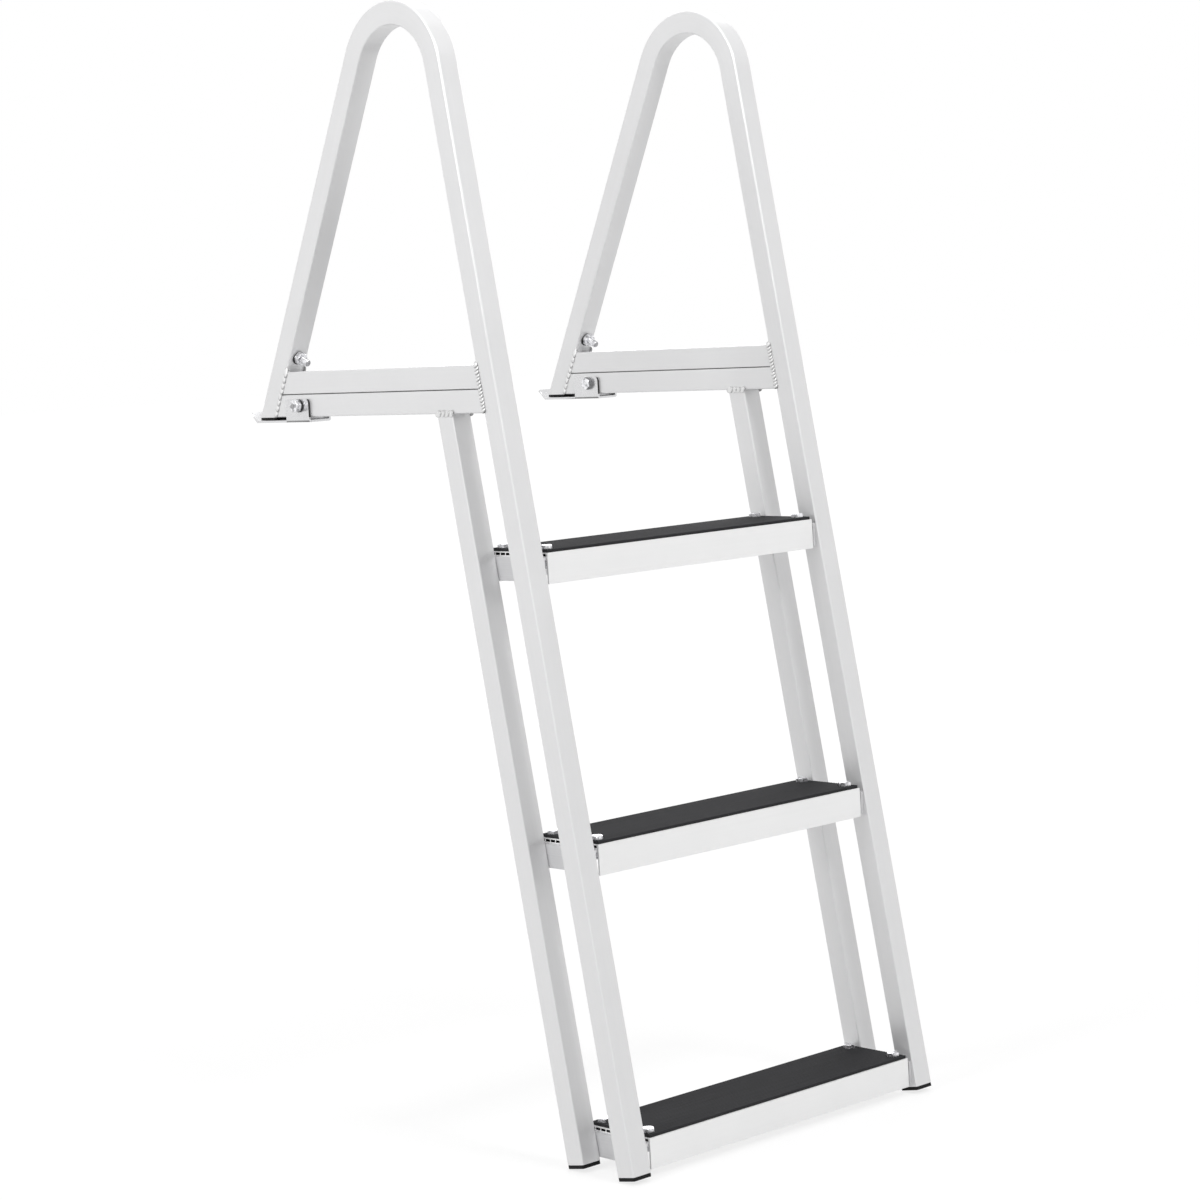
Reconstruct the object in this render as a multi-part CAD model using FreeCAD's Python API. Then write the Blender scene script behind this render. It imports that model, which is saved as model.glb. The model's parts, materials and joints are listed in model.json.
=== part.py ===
import FreeCAD, Part
import math
import os

# Dock ladder with two looped side rails, three flat steps and two dock brackets.
# X runs from the left side to the right, Y from the water to the dock and Z up.
# The origin is the middle of the left dock bracket's underside, so Z = 0 is the top of the dock.
# All sizes are in millimetres and degrees.

# Square tube
TUBE = 25.0
TUBE_WALL = 2.0
TUBE_CORNER = 1.2

# Side view of the frame
OVERALL_WIDTH = 460.0
RAIL_LEAN = 10.0
HANDRAIL_LEAN = 26.5
LOOP_RADIUS = 69.0
BAR_LENGTH = 358.0
FOOT_BELOW_STEP = 36.0

# Steps
STEP_NAMES = ("top", "middle", "bottom")
STEP_PITCH = 300.0
TOP_STEP_BELOW_DOCK = 137.5
TREAD_DEPTH = 92.0
TREAD_LAP_ON_LEG = 15.6
TREAD_HEIGHT = 32.5
TREAD_END_GAP = 3.0
SKIRT_THICKNESS = 2.0
SKIRT_LIP_WIDTH = 6.0
SKIRT_LIP_THICKNESS = 2.0
PLANK_THICKNESS = 5.0
PLANK_SKIN = 1.2
CELL_PITCH = 8.0
CELL_WEB = 1.4
PAD_THICKNESS = 3.2
PAD_EDGE = 1.5
PAD_END = 1.5
RIB_PITCH = 11.0
RIB_GROOVE_WIDTH = 1.8
RIB_GROOVE_DEPTH = 0.7

# Angle brackets that carry the step ends
ANGLE_LEG = 25.0
ANGLE_THICKNESS = 3.0
ANGLE_SETBACK = 1.0
ANGLE_SKIRT_CLEARANCE = 0.5

# Step bolts
STEP_BOLT_HOLE = 8.5
STEP_BOLT_SPACING = 66.0
STEP_BOLT_FROM_END = 10.0

# Plastic end caps
CAP_THICKNESS = 4.0
HEEL_CAP_THICKNESS = 3.0
CAP_PLUG_LENGTH = 14.0
CAP_PLUG_CLEARANCE = 0.2
CAP_CORNER = 1.5

# Dock brackets
PLATE_LENGTH = 96.0
PLATE_THICKNESS = 2.5
HEEL_FROM_BEND = 3.0
HEEL_CLEARANCE = 0.3
EAR_LENGTH = 41.0
EAR_HEIGHT = 26.0
EAR_CORNER = 5.0
EAR_CLEARANCE = 0.3
EAR_BEND = 2.5
LIP_LENGTH = 15.0
LIP_ANGLE = 45.0
LIP_BEND = 3.0
DOCK_SCREW_HOLE = 6.5
DOCK_SCREW_SPACING = 50.0

# Frame bolts
FRAME_BOLT_HOLE = 8.5
HANDRAIL_BOLT_ABOVE_BAR = 22.0
BRACKET_BOLT_LENGTH = 40.0
BRACKET_BOLT_OFF_CENTRE = 4.0
BOLT_SHANK = 8.0
BOLT_HEX = 13.0
BOLT_HEAD_HEIGHT = 5.3
BOLT_NUT_HEIGHT = 6.5
WASHER_DIAMETER = 16.0
WASHER_THICKNESS = 1.6

# Distance under which two points count as one
SAME_POINT = 0.001

# Values that follow from the driving dimensions
LEAN = math.radians(RAIL_LEAN)
HAND = math.radians(HANDRAIL_LEAN)
RAIL_SPACING = OVERALL_WIDTH - TUBE
LEG_OFFSET = TREAD_DEPTH - TREAD_LAP_ON_LEG
HALF_TUBE = TUBE / 2
BAR_BOTTOM = PLATE_THICKNESS + HEEL_CLEARANCE + HEEL_CAP_THICKNESS
BAR_TOP = BAR_BOTTOM + 2 * TUBE
BAR_DOCK_END = PLATE_LENGTH / 2 - HEEL_FROM_BEND - TUBE / math.cos(HAND)
BAR_WATER_END = BAR_DOCK_END - BAR_LENGTH
PLATE_WATER_EDGE = -PLATE_LENGTH / 2
PLATE_WIDTH = TUBE + 2 * (EAR_CLEARANCE + PLATE_THICKNESS)
BRACKET_BOLT_Y = PLATE_WATER_EDGE + EAR_LENGTH / 2 - BRACKET_BOLT_OFF_CENTRE
BRACKET_BOLT_Z = BAR_BOTTOM + HALF_TUBE
TREAD_START = HALF_TUBE + ANGLE_THICKNESS + TREAD_END_GAP
TREAD_LENGTH = RAIL_SPACING - 2 * TREAD_START
LOWEST_STEP_TOP = -TOP_STEP_BELOW_DOCK - (len(STEP_NAMES) - 1) * STEP_PITCH
FOOT_Z = LOWEST_STEP_TOP - FOOT_BELOW_STEP


def vec(x, y, z):
    return FreeCAD.Vector(x, y, z)


def rail_axis_y(z):
    """Y of the front rail's centre line at height z."""
    return BAR_WATER_END - HALF_TUBE / math.cos(LEAN) + (z - BAR_BOTTOM) * math.tan(LEAN)


def handrail_axis_y(z):
    """Y of the dock-side leg's centre line at height z."""
    return BAR_DOCK_END + HALF_TUBE / math.cos(HAND) - (z - BAR_BOTTOM) * math.tan(HAND)


def loop_centre():
    """Centre of the loop, one loop radius inside both leg centre lines."""
    gap = handrail_axis_y(BAR_BOTTOM) - rail_axis_y(BAR_BOTTOM)
    taken = LOOP_RADIUS * (1 / math.cos(LEAN) + 1 / math.cos(HAND))
    z = BAR_BOTTOM + (gap - taken) / (math.tan(LEAN) + math.tan(HAND))
    return vec(0, rail_axis_y(z) + LOOP_RADIUS / math.cos(LEAN), z)


def step_top(index):
    """Height of a step's standing surface."""
    return -TOP_STEP_BELOW_DOCK - index * STEP_PITCH


def tread_front_y(index):
    """Y of a tread's front skirt, flush with the rail's front face at the standing surface."""
    return rail_axis_y(step_top(index)) - HALF_TUBE / math.cos(LEAN)


def cut_corner_rectangle(width, depth, corner):
    """Face in the XY plane, centred on the origin, with its four corners taken off at 45 degrees."""
    x = width / 2
    y = depth / 2
    quarter = [(x - corner, y), (x, y - corner)]
    half = quarter + [(px, -py) for px, py in reversed(quarter)]
    outline = half + [(-px, -py) for px, py in half]
    points = [vec(px, py, 0) for px, py in outline]
    return Part.Face(Part.makePolygon(points + points[:1]))


def tube_section():
    """Face of the square tube's section, with its wall."""
    outer = cut_corner_rectangle(TUBE, TUBE, TUBE_CORNER)
    bore = TUBE - 2 * TUBE_WALL
    return outer.cut(Part.makePlane(bore, bore, vec(-bore / 2, -bore / 2, 0)))


def placed_section(y, z, tilt):
    """Tube section at a point of the side view, facing up and turned about X by tilt radians."""
    section = tube_section()
    section.Placement = FreeCAD.Placement(vec(0, y, z), FreeCAD.Rotation(vec(1, 0, 0), math.degrees(tilt)))
    return section


def side_prism(points, start_x, width):
    """Prism of a closed outline given as (y, z) points, from start_x along X."""
    loop = [vec(start_x, y, z) for y, z in points]
    loop.append(loop[0])
    return Part.Face(Part.makePolygon(loop)).extrude(vec(width, 0, 0))


def cross_hole(diameter, y, z, length):
    """Cylinder along X through a left-hand piece, centred on the tube."""
    return Part.makeCylinder(diameter / 2, length, vec(-length / 2, y, z), vec(1, 0, 0))


def mirrored(shape):
    """The same piece on the ladder's right side."""
    return shape.mirror(vec(RAIL_SPACING / 2, 0, 0), vec(1, 0, 0))


def leaning_direction(angle, towards_dock):
    """Unit vector that climbs at angle radians from the vertical."""
    sign = 1 if towards_dock else -1
    return vec(0, sign * math.sin(angle), math.cos(angle))


def side_rail():
    """One bent tube: front rail, loop over the top and dock-side leg."""
    centre = loop_centre()
    climb = leaning_direction(LEAN, True)
    outward = vec(0, -math.cos(LEAN), math.sin(LEAN))
    tangent = centre + outward * LOOP_RADIUS
    foot_z = FOOT_Z - HALF_TUBE * math.sin(LEAN)
    run = (tangent.z - foot_z) / math.cos(LEAN)
    foot = tangent - climb * run
    front = placed_section(foot.y, foot.z, -LEAN).extrude(climb * run)

    sweep = 180 - RAIL_LEAN - HANDRAIL_LEAN
    bend = placed_section(tangent.y, tangent.z, -LEAN).revolve(centre, vec(1, 0, 0), -sweep)

    descend = leaning_direction(HAND, False) * -1
    end = centre + vec(0, math.cos(HAND), math.sin(HAND)) * LOOP_RADIUS
    past_cut = (end.z - BAR_BOTTOM) / math.cos(HAND) + TUBE
    dock_leg = placed_section(end.y, end.z, HAND).extrude(descend * past_cut)

    below = Part.makeBox(4 * TUBE, 4 * TUBE, 4 * TUBE)
    below.translate(vec(-2 * TUBE, handrail_axis_y(BAR_BOTTOM) - 2 * TUBE, BAR_BOTTOM - 4 * TUBE))
    dock_leg = dock_leg.cut(below)

    rail = front.fuse([bend, dock_leg]).removeSplitter()
    return rail.cut(handrail_bolt_hole())


def handrail_bolt_hole():
    """Hole square through the dock-side leg, just over the upper bar."""
    z = BAR_TOP + HANDRAIL_BOLT_ABOVE_BAR
    across = vec(0, math.cos(HAND), math.sin(HAND))
    centre = vec(0, handrail_axis_y(z), z)
    start = centre - across * TUBE
    return Part.makeCylinder(FRAME_BOLT_HOLE / 2, 2 * TUBE, start, across)


def rear_leg():
    """Straight tube behind the front rail, from the lower bar's underside to its foot."""
    climb = leaning_direction(LEAN, True)
    foot_z = FOOT_Z - HALF_TUBE * math.sin(LEAN)
    foot_y = rail_axis_y(foot_z) + LEG_OFFSET
    run = (BAR_BOTTOM - foot_z) / math.cos(LEAN) + TUBE
    leg = placed_section(foot_y, foot_z, -LEAN).extrude(climb * run)
    top_y = rail_axis_y(BAR_BOTTOM) + LEG_OFFSET
    above = Part.makeBox(4 * TUBE, 4 * TUBE, 4 * TUBE)
    above.translate(vec(-2 * TUBE, top_y - 2 * TUBE, BAR_BOTTOM))
    return leg.cut(above)


def bar(bottom):
    """Level tube between the front rail and the dock-side leg, mitred to both."""
    longest = BAR_LENGTH + 2 * TUBE
    section = tube_section()
    section.Placement = FreeCAD.Placement(
        vec(0, BAR_WATER_END - TUBE, bottom + HALF_TUBE), FreeCAD.Rotation(vec(1, 0, 0), -90)
    )
    tube = section.extrude(vec(0, longest, 0))
    outline = []
    for z in (bottom, bottom + TUBE):
        outline.append((rail_axis_y(z) + HALF_TUBE / math.cos(LEAN), z))
    for z in (bottom + TUBE, bottom):
        outline.append((handrail_axis_y(z) - HALF_TUBE / math.cos(HAND), z))
    return tube.common(side_prism(outline, -TUBE, 2 * TUBE))


def lower_bar():
    """Lower of the two bars, with the hole for the bracket bolt."""
    return bar(BAR_BOTTOM).cut(cross_hole(FRAME_BOLT_HOLE, BRACKET_BOLT_Y, BRACKET_BOLT_Z, 2 * TUBE))


def upper_bar():
    """Upper of the two bars, resting on the lower one."""
    return bar(BAR_BOTTOM + TUBE)


def plug_section():
    """Face of the square plug that fills a tube's bore."""
    size = TUBE - 2 * (TUBE_WALL + CAP_PLUG_CLEARANCE)
    return Part.makePlane(size, size, vec(-size / 2, -size / 2, 0))


def foot_cap(offset):
    """Square plug with a flat sole on the end of a leaning leg."""
    plate = cut_corner_rectangle(TUBE, TUBE, CAP_CORNER).extrude(vec(0, 0, -CAP_THICKNESS))
    plug = plug_section().extrude(vec(0, 0, CAP_PLUG_LENGTH))
    cap = plate.fuse(plug)
    foot_z = FOOT_Z - HALF_TUBE * math.sin(LEAN)
    place = vec(0, rail_axis_y(foot_z) + offset, foot_z)
    cap.Placement = FreeCAD.Placement(place, FreeCAD.Rotation(vec(1, 0, 0), -RAIL_LEAN))
    return cap


def heel_cap():
    """Plug under the dock-side leg, whose level sole rests just over the dock bracket."""
    depth = TUBE / math.cos(HAND)
    plate = cut_corner_rectangle(TUBE, depth, CAP_CORNER).extrude(vec(0, 0, -HEEL_CAP_THICKNESS))
    plate.translate(vec(0, handrail_axis_y(BAR_BOTTOM), BAR_BOTTOM))
    section = plug_section()
    start_z = BAR_BOTTOM - TUBE
    section.Placement = FreeCAD.Placement(
        vec(0, handrail_axis_y(start_z), start_z), FreeCAD.Rotation(vec(1, 0, 0), HANDRAIL_LEAN)
    )
    plug = section.extrude(leaning_direction(HAND, False) * (TUBE / math.cos(HAND) + CAP_PLUG_LENGTH))
    below = Part.makeBox(4 * TUBE, 6 * TUBE, 4 * TUBE)
    below.translate(vec(-2 * TUBE, handrail_axis_y(BAR_BOTTOM) - 3 * TUBE, BAR_BOTTOM - 4 * TUBE))
    return plate.fuse(plug.cut(below)).removeSplitter()


def bracket_plate():
    """Base plate with the slanted lip at its dock end, bent from one strip."""
    rise = math.radians(LIP_ANGLE)
    edge = PLATE_LENGTH / 2
    tip = (edge + LIP_LENGTH * math.cos(rise), LIP_LENGTH * math.sin(rise))
    inner_tip = (tip[0] - PLATE_THICKNESS * math.sin(rise), tip[1] + PLATE_THICKNESS * math.cos(rise))
    inner_bend = (edge - PLATE_THICKNESS * math.tan(rise / 2), PLATE_THICKNESS)
    outline = [(PLATE_WATER_EDGE, 0), (edge, 0), tip, inner_tip, inner_bend, (PLATE_WATER_EDGE, PLATE_THICKNESS)]
    strip = side_prism(outline, -PLATE_WIDTH / 2, PLATE_WIDTH)
    return strip.makeFillet(LIP_BEND, cross_edges(strip, [(edge, 0)]))


def cross_edges(shape, points):
    """Edges of a shape that run along X through the given (y, z) points of the side view."""
    found = []
    for edge in shape.Edges:
        for y, z in points:
            if all(math.hypot(v.Point.y - y, v.Point.z - z) < SAME_POINT for v in edge.Vertexes):
                found.append(edge)
    return found


def bracket_ear():
    """Upright ear on the left of the bar, with rounded top corners."""
    water = PLATE_WATER_EDGE
    dock = PLATE_WATER_EDGE + EAR_LENGTH
    outline = [(water, 0), (dock, 0), (dock, EAR_HEIGHT), (water, EAR_HEIGHT)]
    ear = side_prism(outline, -PLATE_WIDTH / 2, PLATE_THICKNESS)
    return ear.makeFillet(EAR_CORNER, cross_edges(ear, [(water, EAR_HEIGHT), (dock, EAR_HEIGHT)]))


def dock_bracket():
    """Bent bracket: base plate on the dock, two bolted ears and the slanted lip."""
    ear = bracket_ear()
    bracket = bracket_plate().fuse([ear, ear.mirror(vec(0, 0, 0), vec(1, 0, 0))]).removeSplitter()
    cut_corner = rounding_bar(EAR_LENGTH)
    cut_corner.translate(vec(-PLATE_WIDTH / 2, PLATE_WATER_EDGE, 0))
    bracket = bracket.cut([cut_corner, cut_corner.mirror(vec(0, 0, 0), vec(1, 0, 0))])
    holes = [cross_hole(FRAME_BOLT_HOLE, BRACKET_BOLT_Y, BRACKET_BOLT_Z, 2 * PLATE_WIDTH)]
    for side in (-1, 1):
        place = vec(0, side * DOCK_SCREW_SPACING / 2, -PLATE_THICKNESS)
        holes.append(Part.makeCylinder(DOCK_SCREW_HOLE / 2, 3 * PLATE_THICKNESS, place))
    return bracket.cut(holes)


def hex_prism(height):
    """Hexagonal prism of a bolt's head or nut, from the origin along +X, with a corner pointing up."""
    corner = BOLT_HEX / math.sqrt(3)
    points = []
    for turn in range(7):
        angle = math.radians(60 * turn)
        points.append(vec(0, corner * math.sin(angle), corner * math.cos(angle)))
    return Part.Face(Part.makePolygon(points)).extrude(vec(height, 0, 0))


def bracket_bolt():
    """Bolt through the left bracket and the lower bar, head inside the ladder, washer and nut outside."""
    head_seat = PLATE_WIDTH / 2
    head = hex_prism(BOLT_HEAD_HEIGHT)
    head.translate(vec(head_seat, 0, 0))
    shank = Part.makeCylinder(BOLT_SHANK / 2, BRACKET_BOLT_LENGTH, vec(head_seat, 0, 0), vec(-1, 0, 0))
    washer = Part.makeCylinder(WASHER_DIAMETER / 2, WASHER_THICKNESS, vec(-head_seat, 0, 0), vec(-1, 0, 0))
    nut = hex_prism(BOLT_NUT_HEIGHT)
    nut.translate(vec(-head_seat - WASHER_THICKNESS - BOLT_NUT_HEIGHT, 0, 0))
    bolt = head.fuse([shank, washer, nut]).removeSplitter()
    bolt.translate(vec(0, BRACKET_BOLT_Y, BRACKET_BOLT_Z))
    return bolt


def rounding_bar(length):
    """Sharp edge left over by a round bend of radius EAR_BEND, along Y from the origin."""
    block = Part.makeBox(EAR_BEND, length, EAR_BEND)
    round_off = Part.makeCylinder(EAR_BEND, length, vec(EAR_BEND, 0, EAR_BEND), vec(0, 1, 0))
    return block.cut(round_off)


def tread(index):
    """Extruded step: hollow-celled plank with a lipped skirt along each long edge."""
    front = tread_front_y(index)
    top = step_top(index) - PAD_THICKNESS
    rear = front + TREAD_DEPTH
    skirt_bottom = top - TREAD_HEIGHT
    lip_top = skirt_bottom + SKIRT_LIP_THICKNESS
    plank_bottom = top - PLANK_THICKNESS
    outline = [
        (front, top),
        (front, skirt_bottom),
        (front + SKIRT_LIP_WIDTH, skirt_bottom),
        (front + SKIRT_LIP_WIDTH, lip_top),
        (front + SKIRT_THICKNESS, lip_top),
        (front + SKIRT_THICKNESS, plank_bottom),
        (rear - SKIRT_THICKNESS, plank_bottom),
        (rear - SKIRT_THICKNESS, lip_top),
        (rear - SKIRT_LIP_WIDTH, lip_top),
        (rear - SKIRT_LIP_WIDTH, skirt_bottom),
        (rear, skirt_bottom),
        (rear, top),
    ]
    body = side_prism(outline, TREAD_START, TREAD_LENGTH)
    return body.cut(tread_cells(front, top) + step_bolt_holes(index))


def tread_cells(front, top):
    """Cells that run through the plank from end to end."""
    room = TREAD_DEPTH - 2 * SKIRT_THICKNESS + CELL_WEB
    count = int(room / CELL_PITCH)
    first = front + SKIRT_THICKNESS + (room - count * CELL_PITCH) / 2
    height = PLANK_THICKNESS - 2 * PLANK_SKIN
    cells = []
    for number in range(count):
        cell = Part.makeBox(TREAD_LENGTH, CELL_PITCH - CELL_WEB, height)
        cell.translate(vec(TREAD_START, first + number * CELL_PITCH, top - PLANK_THICKNESS + PLANK_SKIN))
        cells.append(cell)
    return cells


def step_bolt_places(index):
    """The four (x, y) places of a step's bolts."""
    middle = tread_front_y(index) + TREAD_DEPTH / 2
    near = TREAD_START + STEP_BOLT_FROM_END
    places = []
    for x in (near, RAIL_SPACING - near):
        for side in (-1, 1):
            places.append((x, middle + side * STEP_BOLT_SPACING / 2))
    return places


def step_bolt_holes(index):
    """Upright cylinders through pad, plank and angle bracket at a step's bolts."""
    drop = TREAD_HEIGHT + PAD_THICKNESS
    start = step_top(index) - drop
    return [
        Part.makeCylinder(STEP_BOLT_HOLE / 2, 2 * drop, vec(x, y, start)) for x, y in step_bolt_places(index)
    ]


def pad(index):
    """Rubber pad on the plank, with grooves along the step."""
    front = tread_front_y(index) + PAD_EDGE
    depth = TREAD_DEPTH - 2 * PAD_EDGE
    top = step_top(index)
    start = TREAD_START + PAD_END
    length = TREAD_LENGTH - 2 * PAD_END
    body = Part.makeBox(length, depth, PAD_THICKNESS)
    body.translate(vec(start, front, top - PAD_THICKNESS))
    count = int(depth / RIB_PITCH)
    first = front + (depth - (count - 1) * RIB_PITCH) / 2
    grooves = []
    for number in range(count):
        middle = first + number * RIB_PITCH
        half = RIB_GROOVE_WIDTH / 2
        outline = [(middle - half, top), (middle, top - RIB_GROOVE_DEPTH), (middle + half, top)]
        grooves.append(side_prism(outline, start, length))
    return body.cut(grooves + step_bolt_holes(index))


def step_angle(index):
    """Angle bracket on the left rails: upright leg on the tubes, level leg under the plank."""
    top = step_top(index) - PAD_THICKNESS - PLANK_THICKNESS
    inset = SKIRT_THICKNESS + ANGLE_SKIRT_CLEARANCE
    front = tread_front_y(index)
    upright = Part.makeBox(ANGLE_THICKNESS, TREAD_DEPTH - 2 * ANGLE_SETBACK, ANGLE_LEG)
    upright.translate(vec(HALF_TUBE, front + ANGLE_SETBACK, top - ANGLE_LEG))
    level = Part.makeBox(ANGLE_LEG, TREAD_DEPTH - 2 * inset, ANGLE_THICKNESS)
    level.translate(vec(HALF_TUBE, front + inset, top - ANGLE_THICKNESS))
    return upright.fuse(level).removeSplitter().cut(step_bolt_holes(index))


def save(name, shape):
    """Write one node, whose solids don't touch each other."""
    solids = shape.Solids
    shape = solids[0] if len(solids) == 1 else Part.makeCompound(solids)
    assert shape.isValid(), name
    shape.exportStep("parts/" + name + ".step")


def main():
    os.makedirs("parts", exist_ok=True)
    sides = {
        "side_rail": side_rail(),
        "rear_leg": rear_leg(),
        "lower_bar": lower_bar(),
        "upper_bar": upper_bar(),
        "foot_cap_front": foot_cap(0),
        "foot_cap_rear": foot_cap(LEG_OFFSET),
        "heel_cap": heel_cap(),
        "dock_bracket": dock_bracket(),
    }
    for index, step in enumerate(STEP_NAMES):
        sides["step_angle_" + step] = step_angle(index)
        save("step_tread_" + step, tread(index))
        save("step_pad_" + step, pad(index))
    left_bolt = bracket_bolt()
    save("bracket_bolts", Part.makeCompound([left_bolt, mirrored(left_bolt)]))
    for name, shape in sides.items():
        save(name + "_left", shape)
        save(name + "_right", mirrored(shape))


main()
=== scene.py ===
"""Looks of the dock ladder: round-cornered tubes, ribbed pads, bolts, welds, finishes, studio."""

import json
import logging
import math
import random
from dataclasses import dataclass, field
from enum import Enum
from typing import Any, Callable, Optional, Sequence, Union

import bpy
from mathutils import Matrix, Vector

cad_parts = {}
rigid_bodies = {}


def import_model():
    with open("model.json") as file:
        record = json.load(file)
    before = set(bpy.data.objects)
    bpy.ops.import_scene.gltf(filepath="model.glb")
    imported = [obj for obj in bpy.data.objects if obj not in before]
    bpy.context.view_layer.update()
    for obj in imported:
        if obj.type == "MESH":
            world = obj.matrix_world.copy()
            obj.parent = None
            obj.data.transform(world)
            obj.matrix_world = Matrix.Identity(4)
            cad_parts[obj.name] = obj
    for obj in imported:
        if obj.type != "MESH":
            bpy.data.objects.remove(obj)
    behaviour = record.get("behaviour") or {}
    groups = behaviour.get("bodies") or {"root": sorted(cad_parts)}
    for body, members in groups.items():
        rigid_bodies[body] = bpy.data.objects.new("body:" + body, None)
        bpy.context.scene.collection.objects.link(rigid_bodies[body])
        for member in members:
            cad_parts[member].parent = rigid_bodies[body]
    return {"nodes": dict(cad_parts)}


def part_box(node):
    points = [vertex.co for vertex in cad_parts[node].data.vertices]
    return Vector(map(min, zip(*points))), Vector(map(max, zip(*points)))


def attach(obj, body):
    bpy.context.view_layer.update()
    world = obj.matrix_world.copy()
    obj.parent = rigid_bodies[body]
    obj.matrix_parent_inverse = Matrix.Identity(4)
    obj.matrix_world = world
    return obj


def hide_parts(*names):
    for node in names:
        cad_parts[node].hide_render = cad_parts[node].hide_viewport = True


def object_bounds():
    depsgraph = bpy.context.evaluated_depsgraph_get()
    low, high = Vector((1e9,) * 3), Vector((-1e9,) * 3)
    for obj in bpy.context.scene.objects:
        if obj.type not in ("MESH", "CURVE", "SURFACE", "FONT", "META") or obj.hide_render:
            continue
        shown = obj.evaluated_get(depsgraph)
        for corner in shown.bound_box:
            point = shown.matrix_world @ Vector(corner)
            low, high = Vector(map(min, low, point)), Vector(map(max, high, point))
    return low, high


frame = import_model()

CAD_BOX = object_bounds()
BODY = "root"
MILLIMETRE = 0.001
SAME_PLACE = 0.01 * MILLIMETRE
NORMAL_WEIGHT = 80
NOISE_MIDDLE = 0.5
FACING = 0.5
WHITE = (1, 1, 1, 1)

Piece = bpy.types.Object
Face = bpy.types.MeshPolygon
Material = bpy.types.Material
Colour = tuple[float, float, float]

log = logging.getLogger("dock_ladder")


class Side(Enum):
    """The ladder's two sides, as the nodes' names end."""

    LEFT = "left"
    RIGHT = "right"

    @property
    def outward(self) -> float:
        """Sign along X that points away from the ladder's middle."""
        return -1.0 if self is Side.LEFT else 1.0


class Step(Enum):
    """The three steps, as the nodes' names end."""

    TOP = "top"
    MIDDLE = "middle"
    BOTTOM = "bottom"


class Slot(Enum):
    """The record's material slots."""

    TUBE = "tube_aluminium"
    STEP = "step_aluminium"
    ANGLE = "angle_aluminium"
    RUBBER = "step_rubber"
    PLASTIC = "black_plastic"
    STEEL = "bracket_steel"


class Pick(Enum):
    """What a selection is made of."""

    VERT = "VERT"
    EDGE = "EDGE"
    FACE = "FACE"


class Mark(Enum):
    """Attributes that a piece's mesh carries for its finish."""

    GRAIN = "grain"
    CROWN = "crown"
    # Painted shade on most pieces, and the near-black ear edges on the brackets.
    DARK = "dark"


@dataclass(frozen=True)
class Measures:
    """Driving sizes that a node's box doesn't give, in metres and radians."""

    tube: float = 25.0 * MILLIMETRE
    corner: float = 1.8 * MILLIMETRE
    lean: float = math.radians(10.0)
    hand: float = math.radians(26.5)
    loop_radius: float = 69.0 * MILLIMETRE

    @property
    def half(self) -> float:
        """Half the tube's side."""
        return self.tube / 2

    @property
    def climb(self) -> Vector:
        """Direction up the front rail."""
        return Vector((0, math.sin(self.lean), math.cos(self.lean)))

    @property
    def waterward(self) -> Vector:
        """Direction square out of the front rail's front face."""
        return Vector((0, -math.cos(self.lean), math.sin(self.lean)))

    @property
    def descend(self) -> Vector:
        """Direction down the dock-side leg."""
        return Vector((0, math.sin(self.hand), -math.cos(self.hand)))

    @property
    def dockward(self) -> Vector:
        """Direction square out of the dock-side leg's rear face."""
        return Vector((0, math.cos(self.hand), math.sin(self.hand)))


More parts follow.
